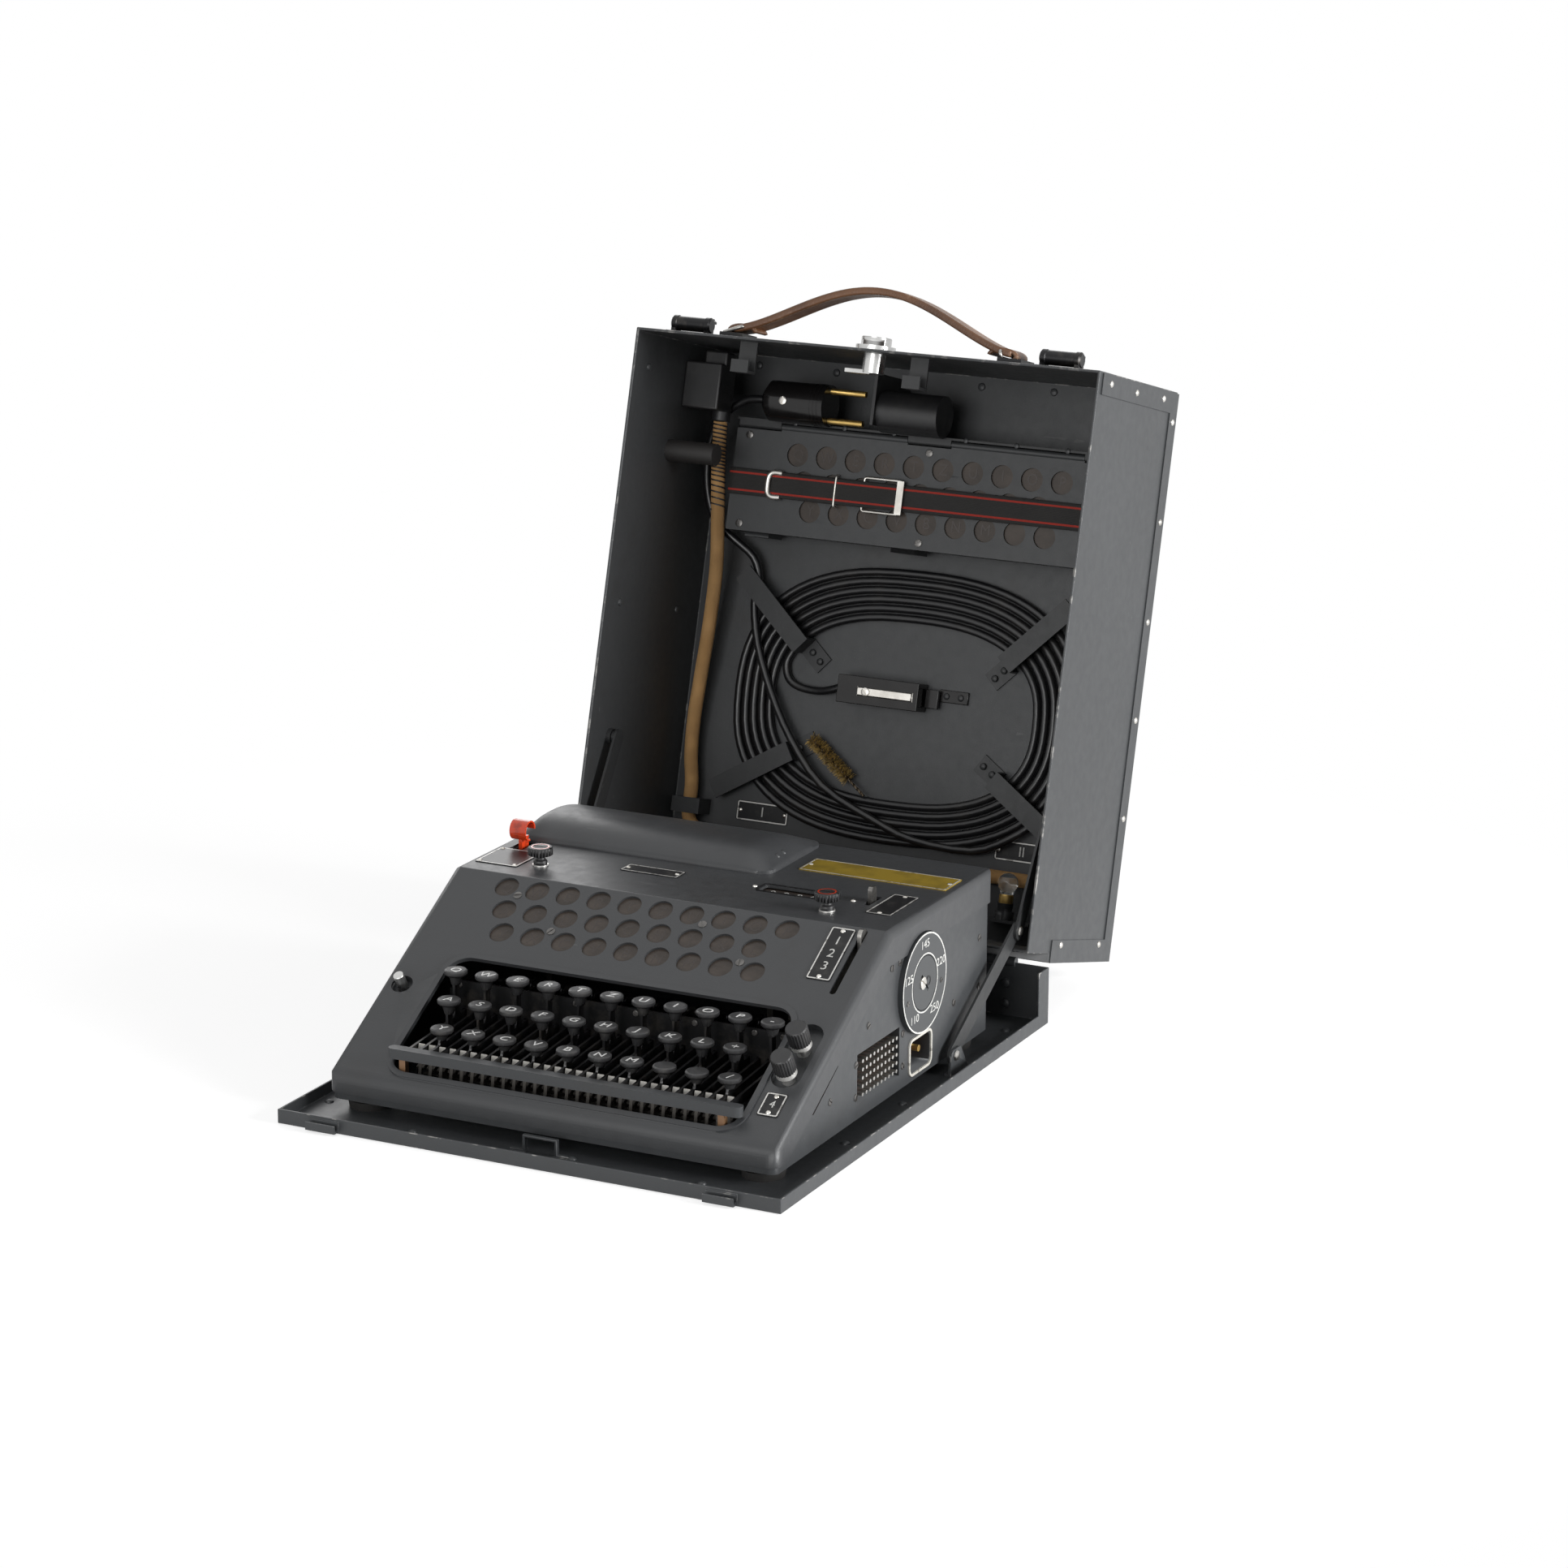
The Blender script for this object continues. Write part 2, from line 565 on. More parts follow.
# Lamp windows: a smoked sheet behind the holes, with the letters printed on
# it so faintly that they only read when a lamp lights them.
smoked = Finish("smoked_sheet", "dark_glass", (0.06, 0.048, 0.04), 0.34, Specular_IOR_Level=0.3)
smoked.mottle(70, 4, (0.046, 0.037, 0.031), (0.088, 0.07, 0.058), (0.3, 0.72), stretch=(1, 2.4, 1),
              turn=(0, 0, 0.6))
faint_ink = Finish("faint_letters", "dark_glass", (0.034, 0.024, 0.019), 0.4)
dress("lamp_screen", "lamp_screen", smoked)
PITCH = 20.5
LETTERS = ("QWERTZUIOP", "ASDFGHJKL", "YXCVBNM")


def lamp_letters(name, seat, body="case", frame_of=None):
    for row in range(3):
        for i, letter in enumerate(LETTERS[row]):
            words(f"{name}_{letter}", letter, 10.5, seat(i, row), faint_ink, body, frame_of, 0.015, 0.9)


lamp_letters("lamp_letter", lambda i, row: shift((40.73 + i * PITCH + row * 6.833, -row * 17.6 - 0.3, -1.58)),
             frame_of=SLOPE)

# Plates: thin sheets with a drawn border and small rivets. Where the machine
# has words on them they are left bare or carry plain marks.
black_plate = Finish("black_plate", "key_black", (0.012, 0.012, 0.013), 0.34, Specular_IOR_Level=0.3)
black_plate.mottle(110, 5, (0.011, 0.011, 0.012), (0.05, 0.048, 0.045), (0.52, 0.8))
silver_line = Finish("silver_border", "nickel", (0.66, 0.65, 0.62), 0.38, 0.3)
silver_line.chip(240, 4, 0.6, 1.0, (0.72, 0.71, 0.68), (0.34, 0.33, 0.31))
gold_plate = Finish("olive_gold_plate", "key_black", (0.36, 0.25, 0.03), 0.46, 0.25, Specular_IOR_Level=0.3)
gold_plate.mottle(60, 6, (0.4, 0.275, 0.034), (0.2, 0.14, 0.024), (0.42, 0.74))
PLATE_THICK = 0.5


def plate(name, at, width, height, ground=black_plate, body="case", frame_of=None, corners=False):
    top = at @ shift((0, 0, PLATE_THICK))
    solid(name, rounded_sheet, (width, height, 1.2, PLATE_THICK, at), ground, body, frame_of, flat=True)
    solid(name + "_border", hoop, (width - 0.8, height - 0.8, 1.2, 0.8, 0.06, top), silver_line, body, frame_of,
          flat=True)
    reach = Vector((width / 2 - 2.6, 0, 0)) if width > height else Vector((0, height / 2 - 2.6, 0))
    seats = [reach, -reach]
    if corners:
        seats = [Vector((x * (width / 2 - 2.4), y * (height / 2 - 2.4), 0)) for x in (-1, 1) for y in (-1, 1)]
    way = (at.to_3x3() @ Vector((0, 0, 1)))[:]
    rivets(name + "_rivets", [((top @ seat)[:], way) for seat in seats], 2.9, 0.7, nickel, body, frame_of)


plate("supply_plate", shift((258.95, -13.05, 0)), 15.3, 41.1, frame_of=SLOPE)
plate("polarity_plate", shift((271.5, -127.5, 0)), 13, 17, frame_of=SLOPE)
plate("deck_plate_left", shift((36.25, 203, DECK_Z)), 28.5, 32, corners=True)
plate("deck_plate_small", shift((126.5, 217, DECK_Z)), 38, 13)
plate("deck_plate_gold", shift((249.2, 272.6, DECK_Z)), 96, 24.5, gold_plate)
plate("counter_plate", shift((282, 220, DECK_Z)), 16.6, 40)
for mark in (1, 2, 3):
    words(f"supply_mark_{mark}", str(mark), 9, shift((259, 7 - 10 * mark, 0.56)), white_ink, frame_of=SLOPE)
words("terminal_mark", "4", 7, shift((271.5, -127.5, 0.56)), white_ink, frame_of=SLOPE)

# Counter window: wheels behind the cover's slot, each with a plain number,
# in a black moulded rim that three small rivets hold on the deck.
counter_drum = Finish("counter_wheels", "bakelite", (0.03, 0.022, 0.018), 0.4)
solid("counter_floor", rounded_sheet, (40, 13, 2, 0.4, shift((218, 218, 106.4))), counter_drum)
solid("counter_rim", hoop, (42.5, 15.5, 3, 1.3, 0.5, shift((218, 218, DECK_Z))), black_plate)
rivets("counter_rivets", [((x, 218, DECK_Z), UP) for x in (194, 242, 257.9)], 3.2, 0.9, nickel)
for i in range(4):
    words(f"counter_digit_{i}", "0", 8, shift((205 + i * 8.7, 218, 106.85)), white_ink)


# Keys: a satin moulded cap with a raised rim and a white letter, on a lever of
# blackened steel. Every key rides its own body.
key_satin = Finish("key_cap", "key_black", (0.027, 0.027, 0.028), 0.33, Coat_Weight=0.15, Coat_Roughness=0.3)
key_satin.sheen(240, 4, -1.0, 2.4)
key_satin.mottle(140, 5, (0.026, 0.026, 0.027), (0.062, 0.059, 0.055), (0.52, 0.8))
lever_steel = Finish("blackened_steel", "hinge_steel", (0.02, 0.02, 0.021), 0.36, 0.7)
lever_steel.mottle(90, 5, (0.018, 0.018, 0.019), (0.075, 0.068, 0.06), (0.5, 0.78))
key_ink = Finish("key_letters", "nickel", (0.88, 0.88, 0.86), 0.45)
key_ink.chip(700, 4, 0.68, 0.5, (0.9, 0.9, 0.88), (0.4, 0.4, 0.39))
LEGENDS = (LETTERS[0] + "-", LETTERS[1] + "+", LETTERS[2] + "  /")
CAP_Y, CAP_Z, KEY_STEP = (97.5, 77.8, 58.1), (73, 62, 51.5), PITCH / 3
KEY_X = [61 + k * KEY_STEP for k in range(31)]
for k, x in enumerate(KEY_X):
    row, node = k % 3, f"key_{k + 1:02d}"
    dress(node, f"{node}_on_lever", key_satin, lever_steel, crease=35, slot="key_black",
          pick=lambda p, face: not (p.z > CAP_Z[row] - 10.5 and abs(p.y - CAP_Y[row]) < 7.2))
    legend = LEGENDS[row][k // 3]
    if legend.strip():
        words(f"legend_{node}", legend, 8.8, shift((x, CAP_Y[row], CAP_Z[row] - 0.35)), key_ink, BODY_OF[node],
              thick=0.07)

# Keyboard frame: comb plate, lever shaft, leaf springs, base strips, and the
# enamelled guard bar along the front of the levers.
spring_metal = Finish("leaf_springs", "hinge_steel", (0.085, 0.078, 0.07), 0.45, 0.6)
pale_contacts = Finish("contact_metal", "nickel", (0.66, 0.64, 0.59), 0.38, 0.35)
pale_contacts.mottle(150, 5, (0.42, 0.4, 0.36), (0.84, 0.82, 0.77))
fibre = Finish("hard_fibre", None, (0.24, 0.13, 0.065), 0.5)
fibre.mottle(160, 4, (0.17, 0.085, 0.04), (0.32, 0.18, 0.09))


def keyboard_part(p, face):
    if 55.5 < p.y < 77.2 and 16.55 < p.z < 28.5:
        return 1
    if p.y < 46 and p.z > 35.9:
        return 2
    return 3 if p.y < 50 else 0


def contact_row(bm, *outline):
    for x in KEY_X[:-1]:
        middle = x + KEY_STEP / 2
        rim = [bm.verts.new((middle + across, 49.6 + (z - 24) * 0.18, z)) for across, z in outline]
        pull(bm, [bm.faces.new(rim)], (0, 0.4, 0))


dress("key_frame", "keyboard_frame", lever_steel, spring_metal, case_paint, fibre, pick=keyboard_part)
blade = [(-2.4, 35.5), (2.4, 35.5), (2, 41.6), (-2, 41.6)]
blade_stem = [(-1.0, 18.0), (1.0, 18.0), (1.0, 35.5), (-1.0, 35.5)]
solid("contact_blades", contact_row, blade, pale_contacts, flat=True)
solid("contact_stems", contact_row, blade_stem, spring_metal, flat=True)
screws("comb_screws", [((x, 106.9, 60.5), FRONT, x) for x in (58, 96, 135, 174, 212, 250, 268)], 3.6, 0.8, 0.7)
screws("spring_screws", [((KEY_X[k], 76, 16.7), UP, k * 0.7) for k in range(0, 31, 2)], 3.0, 0.8, 0.6)


# Controls: two battery terminals, chrome button, two slotted knobs, the red
# release tab, the supply lever and the counter's reset lever.
chrome = Finish("chrome", "nickel", (0.56, 0.56, 0.55), 0.2, 1.0)
chrome.sheen(180, 4, -0.6, 3.2)
collar_metal = Finish("knurled_collar", None, (0.8, 0.79, 0.76), 0.34, 0.7)
signal_red = Finish("signal_red", "red_paint", (0.6, 0.07, 0.018), 0.24, Coat_Weight=0.4, Coat_Roughness=0.1)
signal_red.mottle(160, 5, (0.74, 0.06, 0.014), (0.34, 0.03, 0.01), (0.55, 0.75))
worn_steel = Finish("worn_steel", "nickel", (0.3, 0.29, 0.27), 0.32, 0.95)
worn_steel.mottle(90, 6, (0.36, 0.35, 0.33), (0.1, 0.095, 0.09), (0.4, 0.7))
for node in ("upper_terminal", "lower_terminal"):
    dress(node, f"{node}_post", black_moulding, collar_metal, frame_of=SLOPE, slot="key_black",
          pick=lambda p, face: p.z < 4.75)
dress("push_button", "push_button_cap", chrome)
for node, middle in (("left_knob", (60.9, 197.9, 120.6)), ("right_knob", (252.6, 193.8, 120.6))):
    dress(node, f"{node}_grip", black_moulding, collar_metal, slot="key_black",
          pick=lambda p, face: p.z < 109.91)
    solid(f"{node}_red_ring", ring, (5.6, 4.7, 0.05, shift(middle), 40), signal_red, BODY_OF[node])
dress("release_lever", "release_tab", signal_red, crease=40)
dress("supply_lever", "supply_handle", worn_steel, crease=40)
dress("counter_lever", "counter_reset", worn_steel, crease=40)


# Lid: a deep folded box, enamelled like the case outside and dull inside, with
# its corner strips, domed rivets and stamped stay bosses.
PANEL_V, LID_TOP = 131.4, 353.4


def lid_side(p, face):
    return 1.5 < p.x < 314.6 and p.y < PANEL_V + 0.2 and -5 < p.z < LID_TOP - 1.5


dress("lid_shell", "lid", case_paint, inner_paint, pick=lid_side, soften=0.7, edges=8)
dress("edge_rivets", "corner_strips", case_paint, nickel, pick=lambda p, face: not -0.82 <= p.x <= 316.92)
back_spots = [(80, 345), (153, 316.6), (183, 345), (233, 346), (24, 345), (292, 345)]
back_spots += [(x, 12) for x in (24, 120, 200, 292)]
wall_spots = [(side, v, u) for side in ((1.8, RIGHT), (314.3, LEFT)) for u in (30, 180, 330) for v in (20, 100)]
rivets("lid_wall_rivets", [((x, PANEL_V, u), FRONT) for x, u in back_spots]
       + [((x, v, u), way) for (x, way), v, u in wall_spots], 5.2, 1.4, inner_paint, "lid")

# Fittings inside the lid: cable arms, hooks, plug holder, clamp, bulb shelf,
# the buffer and the spare panel's long hinge, in dull black.
buffer_rubber = Finish("buffer_rubber", None, (0.022, 0.02, 0.019), 0.6)


def fitting_part(p, face):
    if p.y < 70 and 270 < p.z < 292:
        return 1
    if p.y < 40 and p.z > LID_TOP - 0.05:
        return 2
    return 3 if 131 < p.x < 177 and 311 < p.z < 345 else 0


dress("lid_fittings", "fittings", dark_paint, buffer_rubber, lever_steel, black_moulding, pick=fitting_part)
arms = [(85, 166.7, 38, 209.5), (84, 98.5, 32.4, 67.3), (226.9, 170.4, 268, 212), (228, 97.5, 268, 70)]
foot_rivets = []
for x, u, tip_x, tip_u in arms:
    out = Vector((tip_x - x, tip_u - u)).normalized()
    foot_rivets += [((x - out.x * back, 128.85, u - out.y * back), FRONT) for back in (5, 13)]
rivets("arm_rivets", foot_rivets, 4.6, 1.4, dark_paint, "lid")


# Mains cable: plug lead, a crossing strand and the flat coil wound inwards
# behind the four arms. The same 3.8 m lies there as in the part's own source.
def spline(points, n):
    p = [Vector(q) for q in points]
    p = [2 * p[0] - p[1]] + p + [2 * p[-1] - p[-2]]
    path = []
    for a, b, c, d in zip(p, p[1:], p[2:], p[3:]):
        for t in (i / n for i in range(n)):
            bend = t * t * (2 * a - 5 * b + 4 * c - d) + t ** 3 * (3 * b - a - 3 * c + d)
            path.append(0.5 * (2 * b + t * (c - a) + bend))
    return path + [p[-2]]


def round_stock(name, path, width, finish, body="lid", frame_of=None, node=None, fine=3):
    curve = data.curves.new(name, "CURVE")
    curve.dimensions = "3D"
    curve.bevel_depth = width / 2
    curve.bevel_resolution = fine
    curve.use_fill_caps = True
    run = curve.splines.new("POLY")
    run.points.add(len(path) - 1)
    for point, at in zip(run.points, path):
        point.co = (*at, 1)
    mesh = mesh_of(curve)
    mesh.transform(home(body, frame_of))
    for face in mesh.polygons:
        face.use_smooth = True
    show(name, mesh, [finish], body, node, crease=60)


CABLE, TURN_PITCH = 5.3, 5.8
COIL_V = PANEL_V - 0.35 - CABLE / 2
CROSS_V = COIL_V - CABLE - 0.5


def flattened(value):
    return copysign(abs(value) ** 0.8, value)


def coil_point(f):
    tight = TURN_PITCH * (f + 45) / 360
    sink = min(1, max(0, (10 - f) / 60))
    x, u = (122 - tight) * flattened(cos(radians(f))), (89.5 - tight) * flattened(sin(radians(f)))
    return (158 + x, COIL_V + (CROSS_V - COIL_V) * sink, 134 + u)


head = [(50.4, 95, 321), (44, 95, 321), (34, 96, 319), (20, 98, 309), (11, 101, 294), (8.5, 105, 276),
        (9.5, 109, 258), (16, 113, 240), (30, 118, 229), (42, 121, 220)]
head += [(x, CROSS_V, u) for x, u in (
    (47, 207), (46, 190), (52, 164), (66, 134), (84, 106), (110, 79), (148, 62), (178, 52.5))]
tail = [(72, COIL_V, 150.6), (75.6, COIL_V, 143.6), (84, COIL_V, 139.8), (97, COIL_V - 1, 139),
        (107, COIL_V - 3, 141), (114.1, COIL_V - 4, 143.5)]
mains_route = spline(head + [coil_point(f) for f in range(-65, 1961, 15)] + tail, 3)
cable_rubber = Finish("cable_rubber", "black_rubber", (0.01, 0.01, 0.011), 0.27)
cable_rubber.sheen(120, 4, -0.6, 2.7)
cable_rubber.mottle(45, 5, (0.009, 0.009, 0.01), (0.03, 0.028, 0.026), (0.5, 0.8))
round_stock("mains_lead", mains_route, CABLE, cable_rubber, node="mains_cable", fine=2)

# Ends of the mains cable: a glossy moulded plug with brass pins, and the flat
# coupler on its nickel strip in the middle of the coil.
PLUG_U, COUPLER_U = 321, 142.5
plug_gloss = Finish("plug_moulding", "bakelite", (0.01, 0.009, 0.009), 0.16, Coat_Weight=0.15,
                    Coat_Roughness=0.08, Specular_IOR_Level=0.35)
plug_gloss.sheen(90, 5, -0.3, 3.6)


def cable_end_part(p, face):
    if p.z > 300:
        return 1 if p.x > 95.8 else 0
    return 2 if p.y < 115.85 and 139.9 < p.z < 145.1 else 0


def plug_ribs(bm):
    for x in (86, 88.5, 91):
        ring(bm, 13.7, 13.2, 1.0, shift((x, 95, PLUG_U)) @ turn_by(pi / 2, "Y"), 40)


dress("cable_ends", "plug_and_coupler", plug_gloss, brass, nickel, pick=cable_end_part, soften=0.5, edges=4)
screws("plug_screws", [((68, 81.7, PLUG_U), FRONT, 0.0), ((136, 113.9, COUPLER_U), FRONT, 0.6)], 5.4, 0.8, 1.0,
       nickel, "lid")
rivets("tab_rivets", [((x, 129.4, 146), FRONT) for x in (186, 196)], 4.4, 1.3, dark_paint, "lid")
solid("plug_ribs", plug_ribs, (), plug_gloss, "lid")


# Lamp cable: tan cotton braid over a bundle of wires, with a black spiral and
# tape where it leaves the moulded connector. Its pattern runs round and along.
braid = Finish("cotton_braid", "tan_cloth", (0.33, 0.22, 0.105), 0.85)
turn_u, run_v = braid.round_and_along()
left_lay = (turn_u * 9 + run_v * 330).fold(0.5)
right_lay = (turn_u * 9 - run_v * 330).fold(0.5)
over = left_lay.maths("MAXIMUM", left_lay, right_lay)
gap = left_lay.maths("MINIMUM", left_lay, right_lay)
cotton = braid.mix(braid.noise(60, 5), (0.56, 0.3, 0.105), (0.8, 0.48, 0.205))
cotton = braid.mix(braid.steps(gap, 0.1, 0.0) * 0.6, cotton, (0.16, 0.085, 0.035))
soiled = braid.steps(braid.noise(18, 5), 0.5, 0.75) * 0.5
braid.put("Base Color", braid.mix(soiled, cotton, (0.22, 0.135, 0.065)))
braid.relief((over, 0.6, 0.0006), (braid.noise(2500, 2), 0.3, 0.0003))
lamp_points = [(22.2, 89, 304), (22, 92, 285), (21.8, 96, 268), (22, 103, 240), (22.2, 109, 208),
               (19.8, 113.4, 170), (16.8, 116.4, 138), (14.6, 118.8, 110), (14.8, 120.5, 88)]
lamp_points += [(x, 121.4, u) for x, u in (
    (17, 72), (17.6, 62), (17.6, 50), (22, 42), (34, 38), (60, 37), (110, 37), (170, 37), (230, 37), (280, 37.5),
    (296, 43), (303, 58), (306, 90), (307.6, 150), (308.3, 220), (308.3, 280), (308.3, 296))]
lamp_route = spline(lamp_points, 8)
round_stock("lamp_lead", lamp_route, 9, braid, node="lamp_cable", fine=5)


def block(bm, at, size):
    ops.create_cube(bm, size=1, matrix=shift(at) @ Matrix.Diagonal((*size, 1)))


def connector_block(bm):
    block(bm, (14.8, 81, 325), (26, 22, 30))
    block(bm, (20, 82, 343), (16, 12, 10))


def round_corners(piece, name, width):
    bevel = piece.modifiers.new(name, "BEVEL")
    bevel.width, bevel.segments = width * MM, 3


sleeve = [(0, 0), (5.6, 0), (6, 0.6), (6, 6.4), (0, 6.4)]
connector = solid("lamp_connector", connector_block, (), black_moulding, "lid", flat=True)
round_corners(connector, "rounded edges", 1.2)
solid("lamp_sleeve", lathe, (sleeve, shift((22.2, 89, 303.8)), 28), black_moulding, "lid")
tape = Finish("black_tape", "black_rubber", (0.016, 0.015, 0.015), 0.55)
wrapped = spline(lamp_points[:5], 90)
wrap = [at + Vector((4.5 * cos(i * 0.5), 4.5 * sin(i * 0.5), 0)) for i, at in enumerate(wrapped[2:250])]
round_stock("lead_spiral", wrap, 1.2, tape, fine=1)
taped = int(0.72 * (len(lamp_route) - 1))
tape_seat = facing(lamp_route[taped], (lamp_route[taped + 1] - lamp_route[taped]).normalized())
tape_turn = [(4.6, -6), (4.85, -6), (4.85, 6), (4.6, 6), (4.6, -6)]
solid(f"lead_tape_{taped}", lathe, (tape_turn, tape_seat), tape, "lid")


# Spare lamp panel: thirty windows over a smoked sheet, hung on a long hinge,
# held by a black webbing strap with two red stripes and a ladder buckle.
STRAP_U, STRAP_WIDE, STRAP_THICK = 267.5, 17, 0.9


def spare_part(p, face):
    return 103.3 < p.y < 105.8 and 239 < p.z < 299 and 30 < p.x < 301


def plain_strap(p):
    return 258.9 < p.z < 276.1 and (p.y < 101.95 or not 28.55 < p.x < 302.05)


def upright(x, v, u):
    return shift((x, v, u)) @ turn_by(pi / 2, "X")


dress("spare_lamp_panel", "spare_panel", inner_paint, smoked, pick=spare_part, leave_out=plain_strap)
lamp_letters("spare_letter",
             lambda i, row: upright(73.6 + i * PITCH + row * 6.6, 103.38, 288 - row * 17.5), SPARE)


def shares(n):
    return [i / n for i in range(n + 1)]


def ribbon(name, path, width, thick, across, finish, body=SPARE, crown=0.0):
    bm = bmesh.new()
    uv = bm.loops.layers.uv.new("UVMap")
    across = Vector(across)
    rows, run = [], 0.0
    for i, at in enumerate(path):
        ahead = path[min(i + 1, len(path) - 1)]
        out = across.cross((ahead - path[max(i - 1, 0)]).normalized())
        rise = out * crown
        rows.append([(bm.verts.new(at + across * width * (s - 0.5) + rise * (1 - (2 * s - 1) ** 2)), s, run)
                     for s in shares(8)])
        run += (ahead - at).length / width
    for low, high in zip(rows, rows[1:]):
        for a, b, c, d in zip(low, low[1:], high[1:], high):
            face = bm.faces.new([a[0], b[0], c[0], d[0]])
            face.smooth = True
            for loop, corner in zip(face.loops, (a, b, c, d)):
                loop[uv].uv = corner[1:]
    ops.transform(bm, matrix=home(body), verts=bm.verts)
    piece = show(name, as_mesh(bm, name), [finish], body, crease=50)
    shell = piece.modifiers.new("thickness", "SOLIDIFY")
    shell.thickness, shell.offset = thick * MM, 0
    return piece


webbing = Finish("striped_webbing", "black_rubber", (0.018, 0.017, 0.017), 0.8)
web_u, web_v = webbing.round_and_along()
stripes = web_u.between(0.13, 0.205) + web_u.between(0.795, 0.87)
weave = (web_u * 22).fold(0.5) + (web_v * 26).fold(0.5)
cloth = webbing.mix(webbing.noise(50, 4), (0.014, 0.013, 0.013), (0.032, 0.03, 0.028))
webbing.put("Base Color", webbing.mix(stripes * 0.9, cloth, (0.5, 0.04, 0.026)))
webbing.relief((weave, 0.5, 0.0005))
strap_run = [Vector((28 + 274.6 * t, 100.5 - 0.5 * sin(9 * pi * t) ** 2, STRAP_U)) for t in shares(60)]
ribbon("panel_strap", strap_run, STRAP_WIDE, STRAP_THICK, UP, webbing)
for side, x in (("left", 27.95), ("right", 303.3)):
    turned = [Vector((x, 100.6 + 24 * t, STRAP_U)) for t in shares(6)]
    ribbon(f"strap_return_{side}", turned, STRAP_WIDE, STRAP_THICK, UP, webbing)
free_end = [Vector((59 + 92 * t, 98.8 - 0.8 * sin(pi * t) - 0.5 * sin(5 * pi * t) ** 2, 267.3))
            for t in shares(30)]
ribbon("strap_free_end", free_end, 16.6, STRAP_THICK, UP, webbing)

# Strap hardware in bent nickelled wire: the tip's clasp, the keeper and the
# ladder buckle with its plate. Steel screws and rivets hold panel and hinge.
clasp = [(66.5, 98.3, 275), (60.5, 98.2, 275.2), (57.8, 98.2, 273.6), (56.8, 98.2, 270.5), (56.8, 98.2, 264.1),
         (57.8, 98.2, 261), (60.5, 98.2, 259.4), (66.5, 98.3, 259.6)]
keeper = [(105, 100.6, 277.4), (105, 98.2, 277.2), (105, 97.4, 274), (105, 97.4, 260.6), (105, 98.2, 257.4),
          (105, 100.6, 257.2)]
round_stock("strap_tip", spline(clasp, 4), 3.8, nickel, SPARE)
round_stock("strap_keeper", spline(keeper, 4), 1.7, nickel, SPARE)
solid("buckle_plate", block, ((150.5, 97.5, 267.4), (4.6, 1.2, 21.5)), nickel, SPARE, flat=True)


def wire_frame(name, corners, width, finish, body):
    loop = [Vector(c) for c in corners]
    path = []
    for a, b, c in zip(loop[-1:] + loop[:-1], loop, loop[1:] + loop[:1]):
        entry, leave = b + (a - b).normalized() * width * 0.8, b + (c - b).normalized() * width * 0.8
        path += [entry, b * 0.5 + (entry + leave) * 0.25, leave]
    round_stock(name, path + [path[0]], width, finish, body, fine=2)


wire_frame("buckle_frame", [(124, 99.7, 256.7), (151, 98.6, 256.7), (151, 98.6, 278.2), (124, 99.7, 278.2)], 1.9,
           nickel, SPARE)
screws("panel_screws", [((x, 101.95, u), FRONT, x) for x in (38, 165.5, 293) for u in (240.5, 298)], 5, 0.8,
       body=SPARE)
rivets("panel_hinge_rivets", [((x, 101, 308.1), FRONT) for x in (70, 105, 140, 190, 225, 260)], 3.6, 0.9,
       inner_paint, "lid")

# Plates low on the lid's back, beside the coil, where the labels sit. Each is
# bare but for a plain numeral.
for side, x, u, numeral in (("left", 66, 56, "I"), ("right", 250, 54, "II")):
    plate(f"lid_plate_{side}", upright(x, PANEL_V, u), 37, 13, body="lid")
    words(f"lid_numeral_{side}", numeral, 9, upright(x, PANEL_V - 0.56, u), white_ink, "lid")

# Spare bulb: clear glass on a brass cap, standing in the holder on the shelf
# at the foot of the lid.
bulb_glass = Finish("bulb_glass", "nickel", (0.86, 0.88, 0.88), 0.04, Transmission_Weight=0.9, IOR=1.45)
bulb_seat = shift((252, 110, 22))
bulb_cap = [(0, 0), (4.4, 0), (4.6, 0.6), (4.6, 5), (4.1, 5.6), (0, 5.6)]
envelope = [(0, 5.5), (4, 5.5), (4.3, 7), (6.2, 10.5), (6.6, 13), (5.6, 16.4), (3, 18.6), (0, 19.2)]
solid("bulb_cap", lathe, (bulb_cap, bulb_seat, 28), brass, "lid")
solid("bulb_envelope", lathe, (envelope, bulb_seat, 28), bulb_glass, "lid")


# Latches: barrels on the lid's top edge, with wire bails that snap over the
# tray's catches.
barrel = [(0, -13.6), (3.9, -13.6), (5.1, -12.6), (5.1, -9.8), (4.6, -9.4)]
barrel += [(r, -z) for r, z in reversed(barrel)]
LATCHES = (("left", 29.1), ("right", 282.1))
for side, x in LATCHES:
    node = f"{side}_latch"
    dress(node, f"{node}_barrel", lever_steel, soften=0.3, edges=4)
    bail = [(x - 9.5, 20, 359.6), (x - 8, 30, 363), (x - 8, 35.3, 363.3), (x + 8, 35.3, 363.3),
            (x + 8, 30, 363), (x + 9.5, 20, 359.6)]
    wire_frame(f"{node}_bail", bail, 1.7, worn_steel, BODY_OF[node])
for side, x in LATCHES:
    solid(f"latch_barrel_{side}", lathe, (barrel, facing((x, 20, 359.6), RIGHT), 32), lever_steel, "lid")

# Lock: chromed octagonal head on the lid's top edge, with its cam inside and
# a turned ring round the key's hole.
dress("lid_lock", "lock_barrel", chrome)


def lock_head(bm):
    at = shift((158, 18.5, LID_TOP))
    lathe(bm, [(0, 0.2), (12.9, 0.2), (12.9, 1.6), (12.2, 2.4), (0, 2.4)], at, 8)
    ring(bm, 9.3, 3.4, 0.4, at @ shift((0, 0, 8.1)), 32)


solid("lock_octagon", lock_head, (), chrome, BODY_OF["lid_lock"], flat=True)


